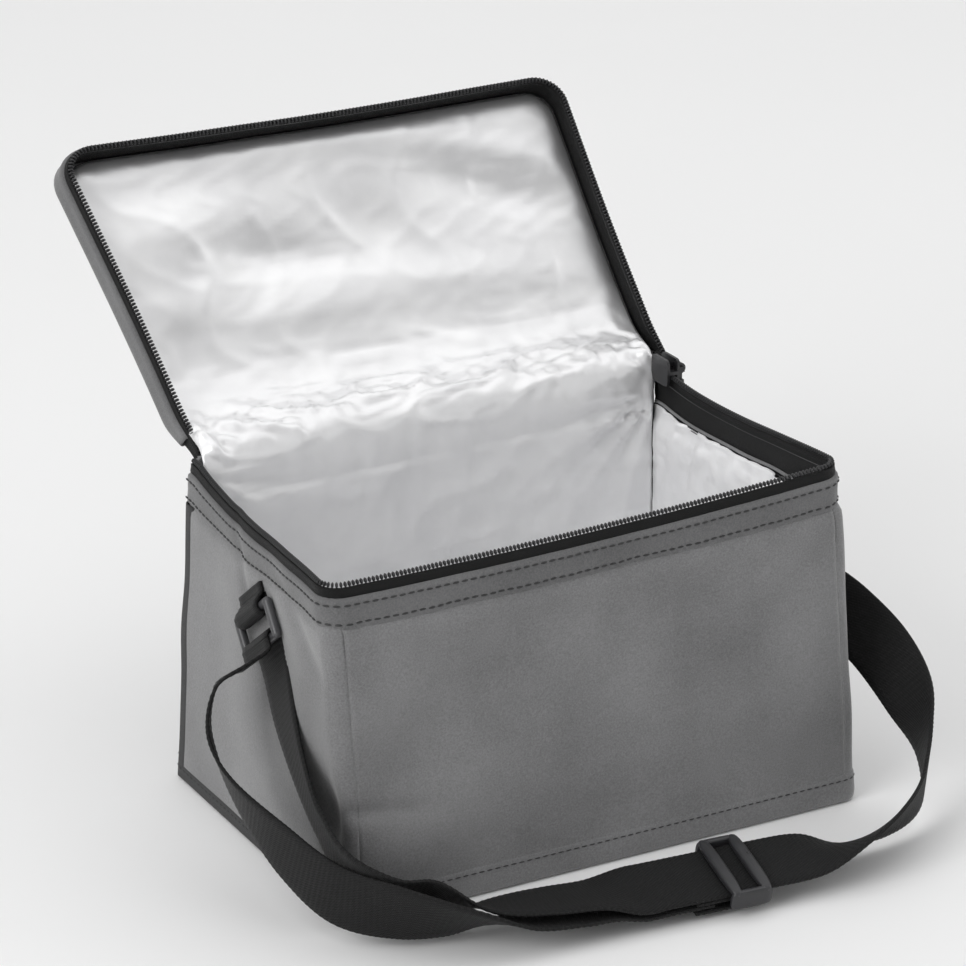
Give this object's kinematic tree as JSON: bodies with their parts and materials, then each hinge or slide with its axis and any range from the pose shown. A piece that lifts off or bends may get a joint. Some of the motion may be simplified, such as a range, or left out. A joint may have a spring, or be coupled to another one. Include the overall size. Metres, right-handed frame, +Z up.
{
  "type": "insulated cooler bag",
  "caption": "Soft box-shaped insulated cooler bag with a foil-lined interior, a zipped lid hinged at the back and an adjustable shoulder strap.",
  "frame": {"origin": "centre of the base, on the surface that the bag stands on", "axes": "+Z up, the front faces -Y, X along the width, with the lid hinge along X at the back"},
  "size_m": [0.2715, 0.302, 0.2257],
  "materials": {
    "outer_fabric": "matt brushed polyester",
    "binding": "woven binding tape",
    "foam": "closed-cell foam sheet",
    "lining": "metallised film, satin",
    "zip_tape": "woven tape",
    "zip_coil": "nylon coil",
    "zip_metal": "black enamel",
    "webbing": "ribbed polypropylene webbing",
    "buckle": "moulded plastic, fine texture"
  },
  "bodies": {
    "bag": {"bottom_panel": "outer_fabric", "front_panel": "outer_fabric", "back_panel": "outer_fabric", "left_panel": "outer_fabric", "right_panel": "outer_fabric", "binding_back_left": "binding", "binding_back_right": "binding", "binding_base_left": "binding", "binding_base_right": "binding", "foam_bottom": "foam", "foam_front": "foam", "foam_back": "foam", "foam_left": "foam", "foam_right": "foam", "lining_bottom": "lining", "lining_front": "lining", "lining_back": "lining", "lining_left": "lining", "lining_right": "lining", "rim_band": "outer_fabric", "body_zip_tape": "zip_tape", "body_zip_coil": "zip_coil", "tab_patch_left": "webbing", "tab_patch_right": "webbing"},
    "lid": {"lid_panel": "outer_fabric", "lid_back_strip": "outer_fabric", "lid_band": "outer_fabric", "lid_foam": "foam", "lid_lining": "lining", "lid_zip_tape": "zip_tape", "lid_zip_coil": "zip_coil"},
    "slider": {"zip_slider": "zip_metal"},
    "puller": {"zip_puller": "zip_metal"},
    "strap": {"tab_loop_left": "webbing", "tab_loop_right": "webbing", "ring_left": "buckle", "ring_right": "buckle", "strap_turn_left": "webbing", "strap_turn_right": "webbing", "strap_tail_right": "webbing", "strap_main": "webbing", "strap_return": "webbing"},
    "adjuster": {"tri_glide": "buckle", "strap_end_loop": "webbing"}
  },
  "joints": [
    {"name": "lid_hinge", "type": "hinge", "parent": "bag", "child": "lid", "pos_m": [0, 0.066, 0.13], "axis": [1, 0, 0], "range_deg": [-25, 132]},
    {"name": "zip_slide", "type": "slide", "parent": "bag", "child": "slider", "axis": [0, -1, 0], "range_m": [0, 0.104]},
    {"name": "puller_swing", "type": "hinge", "parent": "slider", "child": "puller", "pos_m": [0.1041, 0.057, 0.1321], "axis": [0, -1, 0], "range_deg": [0, 160]},
    {"name": "strap_swing", "type": "hinge", "parent": "bag", "child": "strap", "pos_m": [0, 0, 0.1], "axis": [1, 0, 0], "range_deg": [-120, 0]},
    {"name": "strap_adjust", "type": "slide", "parent": "strap", "child": "adjuster", "axis": [0.9965, -0.083, 0], "range_m": [-0.01, 0.003]}
  ]
}
